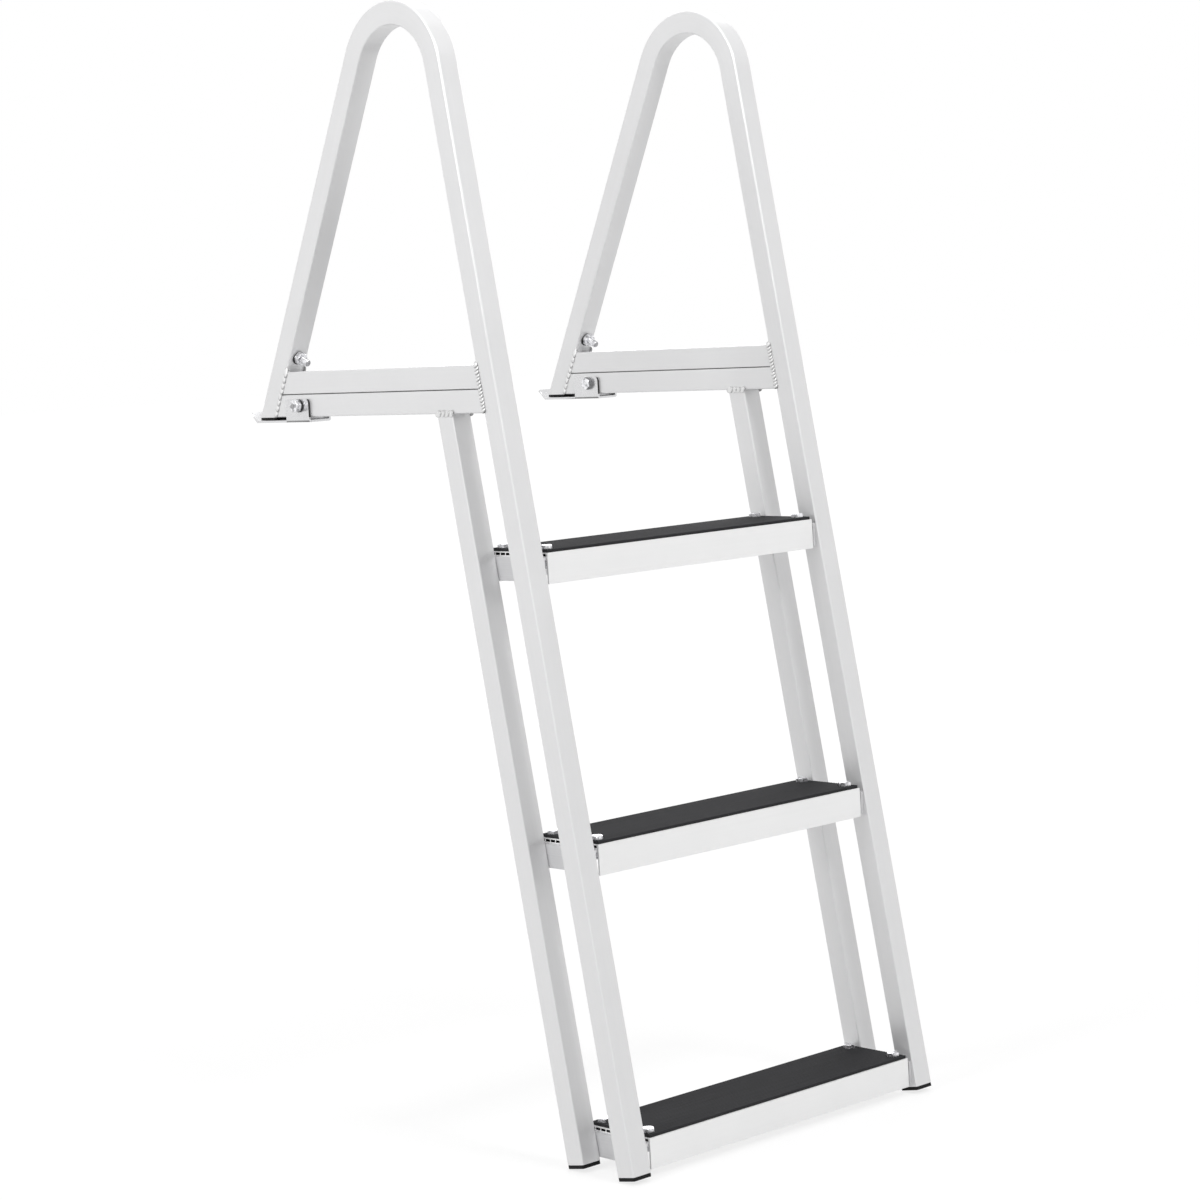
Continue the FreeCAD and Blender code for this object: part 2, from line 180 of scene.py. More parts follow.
class Bench:
    """Modelling by operators: one piece at a time, with nothing else selected."""

    def clear(self) -> None:
        """Leaves edit mode and selects nothing."""
        if bpy.context.object and bpy.context.object.mode != "OBJECT":
            bpy.ops.object.mode_set(mode="OBJECT")
        bpy.ops.object.select_all(action="DESELECT")

    def take(self, *parts: Piece) -> None:
        """Selects only the given pieces and makes the first one active.

        Args:
            parts: The pieces.
        """
        self.clear()
        for part in parts:
            part.select_set(True)
        bpy.context.view_layer.objects.active = parts[0]

    def named(self, part: Piece, name: str) -> Piece:
        """Names a piece and its mesh alike."""
        part.name = part.data.name = name
        return part

    def add(self, name: str, data: bpy.types.ID) -> Piece:
        """Puts a new object into the scene.

        Args:
            name: Its name.
            data: Its mesh, lamp or camera.

        Returns:
            The object.
        """
        made = bpy.data.objects.new(name, data)
        bpy.context.scene.collection.objects.link(made)
        return made

    def settle(self, name: str) -> Piece:
        """Names the new primitive and puts its place into its mesh."""
        bpy.ops.object.transform_apply(location=True, rotation=True, scale=True)
        return self.named(bpy.context.object, name)

    def cylinder(
        self, name: str, sides: int, radius: float, depth: float, middle: float, **options: Any
    ) -> Piece:
        """Adds a cylinder that stands on the Z axis.

        Args:
            name: Its name.
            sides: How many sides stand for its round.
            radius: Its radius.
            depth: Its height.
            middle: Height of its middle.
            options: Further options of the primitive.

        Returns:
            The cylinder.
        """
        self.clear()
        bpy.ops.mesh.primitive_cylinder_add(
            vertices=sides, radius=radius, depth=depth, location=(0, 0, middle), **options
        )
        return self.settle(name)

    def pick_all(self, part: Piece, kind: Pick = Pick.VERT, action: str = "SELECT") -> None:
        """Enters edit mode with the whole piece selected.

        Args:
            part: The piece.
            kind: What the selection is made of.
            action: What is done to all; DESELECT leaves nothing selected.
        """
        self.take(part)
        bpy.ops.object.mode_set(mode="EDIT")
        bpy.ops.mesh.select_mode(type=kind.value)
        bpy.ops.mesh.select_all(action=action)

    def pick(self, part: Piece, kind: Pick, test: Callable[..., bool]) -> None:
        """Enters edit mode with exactly the elements selected for which a test holds.

        Args:
            part: The piece.
            kind: What the selection is made of.
            test: Takes a vertex, a face or the places of an edge's two ends.
        """
        self.pick_all(part, kind, "DESELECT")
        bpy.ops.object.mode_set(mode="OBJECT")
        mesh = part.data
        if kind is Pick.EDGE:
            for edge in mesh.edges:
                edge.select = test(*(mesh.vertices[number].co for number in edge.vertices))
        else:
            for item in mesh.vertices if kind is Pick.VERT else mesh.polygons:
                item.select = test(item)
        bpy.ops.object.mode_set(mode="EDIT")

    def extrude(self, reach: Sequence[float]) -> None:
        """Extrudes the selection along a vector."""
        bpy.ops.mesh.extrude_region_move(TRANSFORM_OT_translate={"value": reach})

    def cut(self, point: Vector, normal: Vector) -> None:
        """Cuts the selection at a plane, drops what the normal points at and closes the end."""
        bpy.ops.mesh.bisect(plane_co=point, plane_no=normal, use_fill=True, clear_outer=True)

    def modify(self, part: Piece, kind: str, **settings: Any) -> None:
        """Adds a modifier and applies it.

        Args:
            part: The piece.
            kind: The modifier's type.
            settings: Its values by name.
        """
        self.take(part)
        modifier = part.modifiers.new(kind.lower(), kind)
        for key, value in settings.items():
            setattr(modifier, key, value)
        bpy.ops.object.modifier_apply(modifier=modifier.name)

    def bevel(self, part: Piece, width: float, degrees: float) -> None:
        """Rounds a piece's edges that are sharper than an angle."""
        limit = {"limit_method": "ANGLE", "angle_limit": math.radians(degrees)}
        self.modify(part, "BEVEL", width=width, segments=2, **limit)

    def repeat(self, part: Piece, count: int, step: Sequence[float]) -> None:
        """Repeats a piece side by side and merges the copies where they meet.

        Args:
            part: The piece.
            count: How many there are.
            step: The way from one to the next.
        """
        spacing = {"use_relative_offset": False, "use_constant_offset": True}
        spacing["constant_offset_displace"] = step
        merging = {"use_merge_vertices": True, "merge_threshold": SAME_PLACE}
        self.modify(part, "ARRAY", count=count, **spacing, **merging)

    def copy(self, part: Piece, name: str, placing: Matrix) -> Piece:
        """Copies a piece with its own mesh.

        Args:
            part: The piece.
            name: The copy's name.
            placing: Where the copy's mesh goes.

        Returns:
            The copy.
        """
        twin = self.named(self.add(name, part.data.copy()), name)
        twin.data.transform(placing)
        return twin

    def join(self, parts: Sequence[Piece], name: str) -> Piece:
        """Joins pieces into the first one.

        Args:
            parts: The pieces.
            name: The joined piece's name.

        Returns:
            The joined piece.
        """
        self.take(*parts)
        bpy.ops.object.join()
        return self.named(bpy.context.object, name)

    def drop(self, part: Piece) -> None:
        """Deletes a master piece that only its copies needed."""
        self.clear()
        bpy.data.objects.remove(part)

    def smooth(self, part: Piece, degrees: float = 32.0) -> None:
        """Merges a piece's doubles and smooths it, with normals pointing out.

        Args:
            part: The piece.
            degrees: Edges sharper than this stay sharp.
        """
        self.pick_all(part)
        bpy.ops.mesh.remove_doubles(threshold=SAME_PLACE)
        bpy.ops.mesh.dissolve_degenerate(threshold=SAME_PLACE / 2)
        bpy.ops.mesh.select_all(action="SELECT")
        bpy.ops.mesh.normals_make_consistent(inside=False)
        self.take(part)
        bpy.ops.object.shade_smooth_by_angle(angle=math.radians(degrees))
        self.modify(part, "WEIGHTED_NORMAL", keep_sharp=True, weight=NORMAL_WEIGHT)


BENCH = Bench()

Value = Union["Signal", float, Sequence[float]]


class Signal:
    """A socket's output that Python's operators can calculate with."""

    def __init__(self, sheet: "ShaderSheet", socket: Optional[bpy.types.NodeSocket]) -> None:
        """Wraps a socket of a sheet's node tree."""
        self.sheet = sheet
        self.socket = socket

    def _math(self, operation: str, first: Value, second: Value) -> "Signal":
        """Adds a Math node for an operation on two values."""
        return self.sheet.node("Math", {0: first, 1: second}, operation=operation)

    def __add__(self, other: Value) -> "Signal":
        """Sum of two values."""
        return self._math("ADD", self, other)

    __radd__ = __add__

    def __sub__(self, other: Value) -> "Signal":
        """Difference of two values."""
        return self._math("SUBTRACT", self, other)

    def __rsub__(self, other: Value) -> "Signal":
        """Difference from a plain number."""
        return self._math("SUBTRACT", other, self)

    def __mul__(self, other: Value) -> "Signal":
        """Product of two values."""
        return self._math("MULTIPLY", self, other)

    __rmul__ = __mul__

    def larger(self, other: Value) -> "Signal":
        """The larger of two values."""
        return self._math("MAXIMUM", self, other)


@dataclass(frozen=True)
class Pattern:
    """A noise: its scale, its octaves and how much the small ones count."""

    scale: float
    detail: float
    roughness: float


class ShaderSheet:
    """A material's or world's node tree, whose nodes are added by one method."""

    def __init__(self, tree: bpy.types.NodeTree) -> None:
        """Empties a node tree to start from."""
        self.tree = tree
        tree.nodes.clear()

    @classmethod
    def material(cls, name: str) -> tuple["ShaderSheet", Material]:
        """Makes an empty material.

        Args:
            name: Its name.

        Returns:
            Its sheet and the material.
        """
        made = bpy.data.materials.new(name)
        made.use_nodes = True
        return cls(made.node_tree), made

    def node(
        self,
        kind: str,
        inputs: Optional[dict[Union[int, str], Value]] = None,
        output: Union[int, str] = 0,
        **settings: Any,
    ) -> Signal:
        """Adds a node, sets its options and then fills its sockets.

        Args:
            kind: The node's type, without its ShaderNode.
            inputs: Values or signals by socket name or number.
            output: The output to hand back.
            settings: Its options by name; stops are a ramp's two (place, grey) pairs.

        Returns:
            The chosen output.
        """
        made = self.tree.nodes.new("ShaderNode" + kind)
        for number, (place, grey) in enumerate(settings.pop("stops", ())):
            made.color_ramp.elements[number].position = place
            made.color_ramp.elements[number].color = (grey, grey, grey, 1)
        for key, value in settings.items():
            setattr(made, key, value)
        for key, value in (inputs or {}).items():
            if isinstance(value, Signal):
                self.tree.links.new(value.socket, made.inputs[key])
            else:
                made.inputs[key].default_value = value
        return Signal(self, made.outputs[output] if made.outputs else None)

    def mark(self, mark: Mark, output: str = "Fac") -> Signal:
        """What the piece's mesh carries as an attribute."""
        return self.node("Attribute", output=output, attribute_name=mark.value)

    def place(self, stretch: Sequence[float] = (1, 1, 1), grain: bool = False) -> Signal:
        """Coordinates of a pattern, scaled on the three axes.

        Args:
            stretch: The scales.
            grain: Whether they follow the bent tube in place of the axes.

        Returns:
            The scaled coordinates.
        """
        if grain:
            source = self.mark(Mark.GRAIN, "Vector")
        else:
            source = self.node("TexCoord", output="Object")
        return self.node("Mapping", {"Vector": source, "Scale": stretch})

    def noise(self, where: Signal, pattern: Pattern) -> Signal:
        """Noise from 0 to 1 at given coordinates."""
        shape = {"Detail": pattern.detail, "Roughness": pattern.roughness}
        return self.node("TexNoise", {"Vector": where, "Scale": pattern.scale, **shape})

    def ramp(self, value: Signal, *stops: tuple[float, float]) -> Signal:
        """Grey from two (place, grey) stops."""
        return self.node("ValToRGB", {"Fac": value}, stops=stops)

    def blend(self, share: Value, first: Value, second: Value) -> Signal:
        """Colour between two colours: a share of 0 gives the first one."""
        return self.node("Mix", {0: share, 6: first, 7: second}, 2, data_type="RGBA")

    def bump(self, height: Signal, depth: float, strength: float) -> Signal:
        """Normal of a pattern from 0 to 1 that is a depth in metres high."""
        inputs = {"Height": height, "Distance": depth, "Strength": strength}
        return self.node("Bump", inputs, "Normal")

    def surface(self, **sockets: Value) -> None:
        """Ends a material with the principled shader, its sockets named with _ for a space."""
        inputs = {key.replace("_", " "): value for key, value in sockets.items()}
        self.node("OutputMaterial", {"Surface": self.node("BsdfPrincipled", inputs)})


def shade(colour: Colour, factor: float = 1.0) -> tuple[float, float, float, float]:
    """A colour made lighter or darker, with full alpha."""
    red, green, blue = (min(1.0, part * factor) for part in colour)
    return red, green, blue, 1.0


@dataclass(frozen=True)
class Finish:
    """A finish's name and main colour."""

    name: str
    colour: Colour

    def tones(self, sheet: ShaderSheet, share: Signal, low: float, high: float) -> Signal:
        """The main colour, from low to high times its tone by a pattern."""
        return sheet.blend(share, shade(self.colour, low), shade(self.colour, high))


@dataclass(frozen=True)
class ExtrudedAluminium(Finish):
    """Satin extruded aluminium with die lines along the piece, a faint cloudy oxide and painted
    shade in recesses.
    """

    metallic: float
    roughness: float
    lines: tuple[float, float, float]
    grain: bool = False
    spread: float = 0.05
    recess_shade: Colour = (0.012, 0.012, 0.012)
    die: Pattern = Pattern(1.0, 5.0, 0.6)
    cloud: Pattern = Pattern(14.0, 3.0, 0.55)
    touch: Pattern = Pattern(95.0, 4.0, 0.7)
    relief: float = 0.02 * MILLIMETRE

    def build(self) -> Material:
        """Makes the material.

        Returns:
            The material.
        """
        sheet, made = ShaderSheet.material(self.name)
        around = sheet.place(grain=self.grain)
        die = sheet.noise(sheet.place(self.lines, self.grain), self.die)
        cloud = sheet.noise(around, self.cloud)
        handling = sheet.ramp(sheet.noise(around, self.touch), (0.62, 0.0), (0.78, 1.0))
        metal = self.tones(sheet, die * 0.45 + cloud * 0.55, 1 - self.spread, 1 + self.spread)
        # Painted shade: near-black where the mesh marks a recess, on the planks' cell walls and in
        # the crease between the stacked bars.
        base = sheet.blend(sheet.mark(Mark.DARK), metal, shade(self.recess_shade))
        worn = self.roughness + (die - NOISE_MIDDLE) * 0.12 + (cloud - NOISE_MIDDLE) * 0.1
        roughness = worn + handling * 0.06
        normal = sheet.bump(die, self.relief, 0.6)
        sheet.surface(
            Base_Color=base, Roughness=roughness, Metallic=self.metallic, Normal=normal
        )
        return made


@dataclass(frozen=True)
class BentSteel(Finish):
    """Bright bent bracket steel with a fine mottle, near-black ear edges and painted shade on its
    bends.
    """

    name: str = "bent_bracket_steel"
    colour: Colour = (0.72, 0.72, 0.73)
    edge: Colour = (0.035, 0.035, 0.035)
    mottle: Pattern = Pattern(420.0, 4.0, 0.6)
    cloud: Pattern = Pattern(60.0, 3.0, 0.5)
    metallic: float = 0.95
    roughness: float = 0.26
    relief: float = 0.06 * MILLIMETRE

    def build(self) -> Material:
        """Makes the material.

        Returns:
            The material.
        """
        sheet, made = ShaderSheet.material(self.name)
        where = sheet.place()
        mottle = sheet.noise(where, self.mottle)
        cloud = sheet.noise(where, self.cloud)
        # Near-black on the ear edges that face along Y, and painted shade on the undersides of the
        # bends.
        dark_edges_and_bend_shade = sheet.mark(Mark.DARK)
        bright = self.tones(sheet, mottle * 0.6 + cloud * 0.4, 0.82, 1.14)
        base = sheet.blend(dark_edges_and_bend_shade, bright, shade(self.edge))
        uneven = (mottle - NOISE_MIDDLE) * 0.25 + (cloud - NOISE_MIDDLE) * 0.15
        roughness = self.roughness + uneven + dark_edges_and_bend_shade * 0.3
        metallic = self.metallic - dark_edges_and_bend_shade * 0.6
        normal = sheet.bump(mottle, self.relief, 0.7)
        sheet.surface(Base_Color=base, Roughness=roughness, Metallic=metallic, Normal=normal)
        return made


@dataclass(frozen=True)
class ZincPlate(Finish):
    """Zinc plate on bolts and nuts with painted shade where marked; near-black, it paints the
    washers' shade.
    """

    metallic: float
    roughness: float
    painted_shade: Colour = (0.05, 0.05, 0.05)
    crystal: Pattern = Pattern(900.0, 3.0, 0.6)
    stain: Pattern = Pattern(210.0, 3.0, 0.6)
    relief: float = 0.01 * MILLIMETRE

    def build(self) -> Material:
        """Makes the material.

        Returns:
            The material.
        """
        sheet, made = ShaderSheet.material(self.name)
        where = sheet.place()
        crystal = sheet.noise(where, self.crystal)
        stain = sheet.ramp(sheet.noise(where, self.stain), (0.37, 0.0), (0.57, 1.0))
        dark = sheet.mark(Mark.DARK)
        # Painted shade: the marked faces, the thread's end and some heads' sides, take the
        # near-black colour.
        base = sheet.blend(dark, self.tones(sheet, stain, 0.58, 1.25), shade(self.painted_shade))
        roughness = self.roughness + crystal * 0.12 + stain * 0.08 + dark * 0.3
        metallic = self.metallic - dark * 0.15
        normal = sheet.bump(crystal, self.relief, 0.5)
        sheet.surface(Base_Color=base, Roughness=roughness, Metallic=metallic, Normal=normal)
        return made


@dataclass(frozen=True)
class WeldMetal(Finish):
    """Silver weld bead with painted highlights on its scales' crowns, painted shade in the
    crevices between them and a sooty mottle.
    """

    name: str = "weld_metal"
    colour: Colour = (0.8, 0.8, 0.8)
    # Colour of the painted shade in the crevices.
    crevice: Colour = (0.22, 0.22, 0.22)
    soot: Pattern = Pattern(420.0, 4.0, 0.65)
    pores: Pattern = Pattern(1100.0, 2.0, 0.5)
    relief: float = 0.03 * MILLIMETRE

    def build(self) -> Material:
        """Makes the material.

        Returns:
            The material.
        """
        sheet, made = ShaderSheet.material(self.name)
        where = sheet.place()
        soot = sheet.noise(where, self.soot)
        # Painted light and shade: bright at each scale's crown and the crevice colour where the
        # scales meet, with a sooty mottle.
        lit = sheet.mark(Mark.CROWN) + (soot - NOISE_MIDDLE) * 0.7
        bright = sheet.ramp(lit, (0.3, 0.0), (0.85, 1.0))
        base = sheet.blend(bright, shade(self.crevice), shade(self.colour))
        normal = sheet.bump(sheet.noise(where, self.pores), self.relief, 0.6)
        sheet.surface(Base_Color=base, Roughness=0.34 + soot * 0.22, Metallic=0.6, Normal=normal)
        return made


@dataclass(frozen=True)
class RibbedRubber(Finish):
    """Matt black step rubber with dusty lengthwise drag marks."""

    name: str = "step_rubber"
    colour: Colour = (0.034, 0.034, 0.036)
    drag_stretch: tuple[float, float, float] = (9, 260, 260)
    drag: Pattern = Pattern(1.0, 4.0, 0.6)
    dust: Pattern = Pattern(45.0, 5.0, 0.65)
    pores: Pattern = Pattern(1500.0, 2.0, 0.5)
    relief: float = 0.04 * MILLIMETRE
    shine: float = 0.08

    def build(self) -> Material:
        """Makes the material.

        Returns:
            The material.
        """
        sheet, made = ShaderSheet.material(self.name)
        where = sheet.place()
        drag = sheet.noise(sheet.place(self.drag_stretch), self.drag)
        dust = sheet.noise(where, self.dust)
        base = self.tones(sheet, drag * 0.6 + dust * 0.4, 0.62, 1.5)
        roughness = 0.74 + dust * 0.16 + drag * 0.08
        normal = sheet.bump(sheet.noise(where, self.pores), self.relief, 0.8)
        gloss = {"Metallic": 0.0, "Specular_IOR_Level": self.shine}
        sheet.surface(Base_Color=base, Roughness=roughness, Normal=normal, **gloss)
        return made


@dataclass(frozen=True)
class MouldedPlastic(Finish):
    """Black moulded plastic with a fine spark-eroded texture."""

    name: str = "moulded_plastic"
    colour: Colour = (0.007, 0.007, 0.0075)
    rub: Pattern = Pattern(120.0, 4.0, 0.6)
    pores: Pattern = Pattern(1400.0, 3.0, 0.6)
    relief: float = 0.03 * MILLIMETRE
    shine: float = 0.15

    def build(self) -> Material:
        """Makes the material.

        Returns:
            The material.
        """
        sheet, made = ShaderSheet.material(self.name)
        where = sheet.place()
        rub = sheet.noise(where, self.rub)
        base = self.tones(sheet, rub, 0.7, 1.6)
        normal = sheet.bump(sheet.noise(where, self.pores), self.relief, 0.7)
        gloss = {"Metallic": 0.0, "Specular_IOR_Level": self.shine}
        sheet.surface(Base_Color=base, Roughness=0.48 + rub * 0.16, Normal=normal, **gloss)
        return made


@dataclass(frozen=True)
class Finishes:
    """Every finish of the ladder, built once."""

    tube: Material
    step: Material
    angle: Material
    rubber: Material
    plastic: Material
    steel: Material
    zinc: Material
    washer: Material
    weld: Material

    @classmethod
    def build(cls) -> "Finishes":
        """Builds the materials.

        Returns:
            The finishes.
        """
        along_x, along_y = (3.0, 420.0, 420.0), (420.0, 3.0, 900.0)
        along_z = (420.0, 420.0, 3.0)
        satin_tube, satin_step = (0.775, 0.775, 0.78), (0.93, 0.93, 0.93)
        mill, zinc, black = (0.72, 0.72, 0.73), (0.74, 0.74, 0.76), (0.03, 0.03, 0.032)
        kinds = {
            "tube": ExtrudedAluminium("satin_tube", satin_tube, 0.4, 0.36, along_z, grain=True),
            "step": ExtrudedAluminium("satin_step", satin_step, 0.35, 0.42, along_x),
            "angle": ExtrudedAluminium("mill_angle", mill, 0.45, 0.4, along_y, spread=0.16),
            "rubber": RibbedRubber(),
            "plastic": MouldedPlastic(),
            "steel": BentSteel(),
            "zinc": ZincPlate("zinc_plate", zinc, metallic=0.9, roughness=0.18),
            # Near-black washers paint the shade around the nuts.
            "washer": ZincPlate("washer_painted_shade", black, metallic=0.2, roughness=0.4),
            "weld": WeldMetal(),
        }
        return cls(**{key: kind.build() for key, kind in kinds.items()})


class Assembly:
    """What every sub-assembly does with a finished piece."""

    def finish(
        self, part: Piece, material: Material, slot: Slot, nodes: Sequence[str] = ()
    ) -> None:
        """Dresses a piece and lets it ride on the ladder.

        Args:
            part: The piece.
            material: Its finish.
            slot: The record's slot for that finish; it is not used.
            nodes: The CAD nodes that it stands for.
        """
        BENCH.clear()
        part.data.materials.clear()
        part.data.materials.append(material)
        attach(part, BODY)
        if nodes:
            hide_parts(*nodes)
        log.info("%s: %d faces", part.name, len(part.data.polygons))

    def darken(self, part: Piece, shade_of: Callable[[Face], float]) -> None:
        """Stores on a piece's faces how dark they are.

        Args:
            part: The piece.
            shade_of: Takes a face and gives its darkness from 0 to 1.
        """
        dark = part.data.attributes.new(Mark.DARK.value, "FLOAT", "FACE")
        for face, item in zip(part.data.polygons, dark.data):
            item.value = shade_of(face)


@dataclass
class RailPath:
    """Centre line of one side rail: front rail, loop and dock-side leg."""

    sizes: Measures
    side: Side
    foot: Vector = field(init=False)
    centre: Vector = field(init=False)
    run: float = field(init=False)

    def __post_init__(self) -> None:
        """Works the line out from the rail's box."""
        low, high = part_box("side_rail_" + self.side.value)
        size = self.sizes
        lean_half = Vector((0, size.half * math.cos(size.lean), size.half * math.sin(size.lean)))
        self.foot = Vector(((low.x + high.x) / 2, low.y, low.z)) + lean_half
        centre_z = high.z - size.half - size.loop_radius
        tangent_z = centre_z + size.loop_radius * math.sin(size.lean)
        self.run = (tangent_z - self.foot.z) / math.cos(size.lean)
        self.centre = self.foot + size.climb * self.run - size.waterward * size.loop_radius

    @property
    def sweep(self) -> float:
        """Angle that the loop turns through."""
        return math.pi - self.sizes.lean - self.sizes.hand

    @property
    def end(self) -> Vector:
        """Where the loop runs into the dock-side leg."""
        return self.centre + self.sizes.dockward * self.sizes.loop_radius

    @property
    def rear_face(self) -> Vector:
        """A point on the front rail's rear face."""
        return self.foot - self.sizes.waterward * self.sizes.half

    @property
    def hand_face(self) -> Vector:
        """A point on the dock-side leg's water-side face."""
        return self.end - self.sizes.dockward * self.sizes.half

    def unbent(self, point: Vector) -> Vector:
        """Place of a point in the tube before it was bent.

        Args:
            point: A point of the tube.

        Returns:
            Its place across the tube, out of the tube and along it.
        """
        size = self.sizes
        arm = point - self.centre
        if arm.dot(size.climb) <= 0 and arm.dot(size.waterward) > 0:
            offset = point - self.foot
            return Vector((offset.x, offset.dot(size.waterward), offset.dot(size.climb)))
        if arm.dot(size.descend) >= 0:
            offset = point - self.end
            along = self.run + size.loop_radius * self.sweep + offset.dot(size.descend)
            return Vector((offset.x, offset.dot(size.dockward), along))
        turn = math.atan2(arm.dot(size.climb), arm.dot(size.waterward))
        reach = math.hypot(arm.y, arm.z) - size.loop_radius
        return Vector((arm.x, reach, self.run + size.loop_radius * turn))


@dataclass
class Tubework(Assembly):
    """Side rails, rear legs and level bars, all of one square tube with round corners."""

    sizes: Measures
    finishes: Finishes
    corner_steps: int = 4
    bend_steps: int = 72
    # How dark the painted shade in the crease between the two bars is.
    seam_shade: float = 0.75
    seam_facing: float = 0.7
    leg_grain_start: float = 7.0
    bar_grain_starts: tuple[float, float] = (11.0, 14.0)

    def build(self) -> None:
        """Builds both sides."""
        for side in Side:
            path = RailPath(self.sizes, side)
            self.side_rail(path)
            self.rear_leg(path)
            self.level_bars(path)

    def _section(self, place: Vector, tilt: float, name: str) -> Piece:
        """Adds the tube's square with its corners rounded, still selected in edit mode.

        Args:
            place: Its centre.
            tilt: Turn about X in radians.
            name: The piece's name.

        Returns:
            The piece.
        """
        BENCH.clear()
        turn = (tilt, 0, 0)
        bpy.ops.mesh.primitive_plane_add(size=self.sizes.tube, location=place, rotation=turn)
        part = BENCH.settle(name)
        BENCH.pick_all(part)
        rounding = {"offset": self.sizes.corner, "segments": self.corner_steps}
        bpy.ops.mesh.bevel(affect="VERTICES", **rounding)
        bpy.ops.mesh.select_mode(type="FACE")
        bpy.ops.mesh.select_all(action="SELECT")
        return part

    def _finish_tube(self, part: Piece, node: str, place: Callable[[Vector], Vector]) -> None:
        """Stores the straight tube's coordinates for the die lines and dresses a tube.

        Args:
            part: The piece.
            node: The CAD node that it stands for.
            place: Gives a point's place in the straight tube.
        """
        grain = part.data.attributes.new(Mark.GRAIN.value, "FLOAT_VECTOR", "POINT")
        for vertex, item in zip(part.data.vertices, grain.data):
            item.vector = place(vertex.co)
        self.finish(part, self.finishes.tube, Slot.TUBE, [node])

    def side_rail(self, path: RailPath) -> None:
        """One bent tube, from its foot over the loop to the dock bracket.

        Args:
            path: Its centre line.
        """
        size = self.sizes
        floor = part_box("lower_bar_" + path.side.value)[0].z
        rail = self._section(path.foot, -size.lean, "rail_tube_" + path.side.value)
        BENCH.extrude(size.climb * path.run)
        arc = {"angle": path.sweep, "center": path.centre, "axis": (1, 0, 0)}
        bpy.ops.mesh.spin(steps=self.bend_steps, **arc)
        drop = (path.end.z - floor) / math.cos(size.hand) + size.tube
        BENCH.extrude(size.descend * drop)
        bpy.ops.mesh.select_more()
        BENCH.cut(Vector((0, 0, floor)), Vector((0, 0, -1)))
        BENCH.smooth(rail)
        self._finish_tube(rail, "side_rail_" + path.side.value, path.unbent)

    def rear_leg(self, path: RailPath) -> None:
        """Straight tube from its foot to the lower bar's underside.

        Args:
            path: The rail that it runs beside.
        """
        size = self.sizes
        name = "rear_leg_" + path.side.value
        low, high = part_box(name)
        foot = Vector((path.foot.x, low.y + size.half * math.cos(size.lean), path.foot.z))
        leg = self._section(foot, -size.lean, "leg_tube_" + path.side.value)
        run = (high.z - low.z) / math.cos(size.lean) + size.tube
        BENCH.extrude(size.climb * run)
        bpy.ops.mesh.select_all(action="SELECT")
        BENCH.cut(Vector((0, 0, high.z)), Vector((0, 0, 1)))
        BENCH.smooth(leg)

        def straight(point: Vector) -> Vector:
            """Place of a point across, out of and along the leg."""
            offset, start = point - foot, self.leg_grain_start
            return Vector((offset.x, offset.dot(size.waterward), offset.dot(size.climb) + start))

        self._finish_tube(leg, name, straight)

    def level_bars(self, path: RailPath) -> None:
        """The two stacked bars, mitred to the front rail and the dock-side leg.

        Args:
            path: The rail that they join.
        """
        size = self.sizes
        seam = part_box("upper_bar_" + path.side.value)[0].z
        for level, grain_start in zip(("lower", "upper"), self.bar_grain_starts):
            name = level + "_bar_" + path.side.value
            low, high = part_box(name)
            start = Vector((path.foot.x, low.y - size.tube, (low.z + high.z) / 2))
            bar = self._section(start, math.pi / 2, level + "_tube_" + path.side.value)
            BENCH.extrude((0, high.y - low.y + 2 * size.tube, 0))
            for point, normal in (
                (path.rear_face, size.waterward),
                (path.hand_face, size.dockward),
            ):
                bpy.ops.mesh.select_all(action="SELECT")
                BENCH.cut(point, normal)
            BENCH.smooth(bar)

            def darkness(face: Face) -> float:
                """Painted shade where the two bars' round corners meet."""
                near = abs(face.center.z - seam) < size.corner
                return self.seam_shade if near and abs(face.normal.z) > self.seam_facing else 0.0

            def straight(point: Vector) -> Vector:
                """Place of a point across, up and along the bar."""
                offset = point - start
                return Vector((offset.x, offset.z, offset.y + grain_start))

            self.darken(bar, darkness)
            self._finish_tube(bar, name, straight)


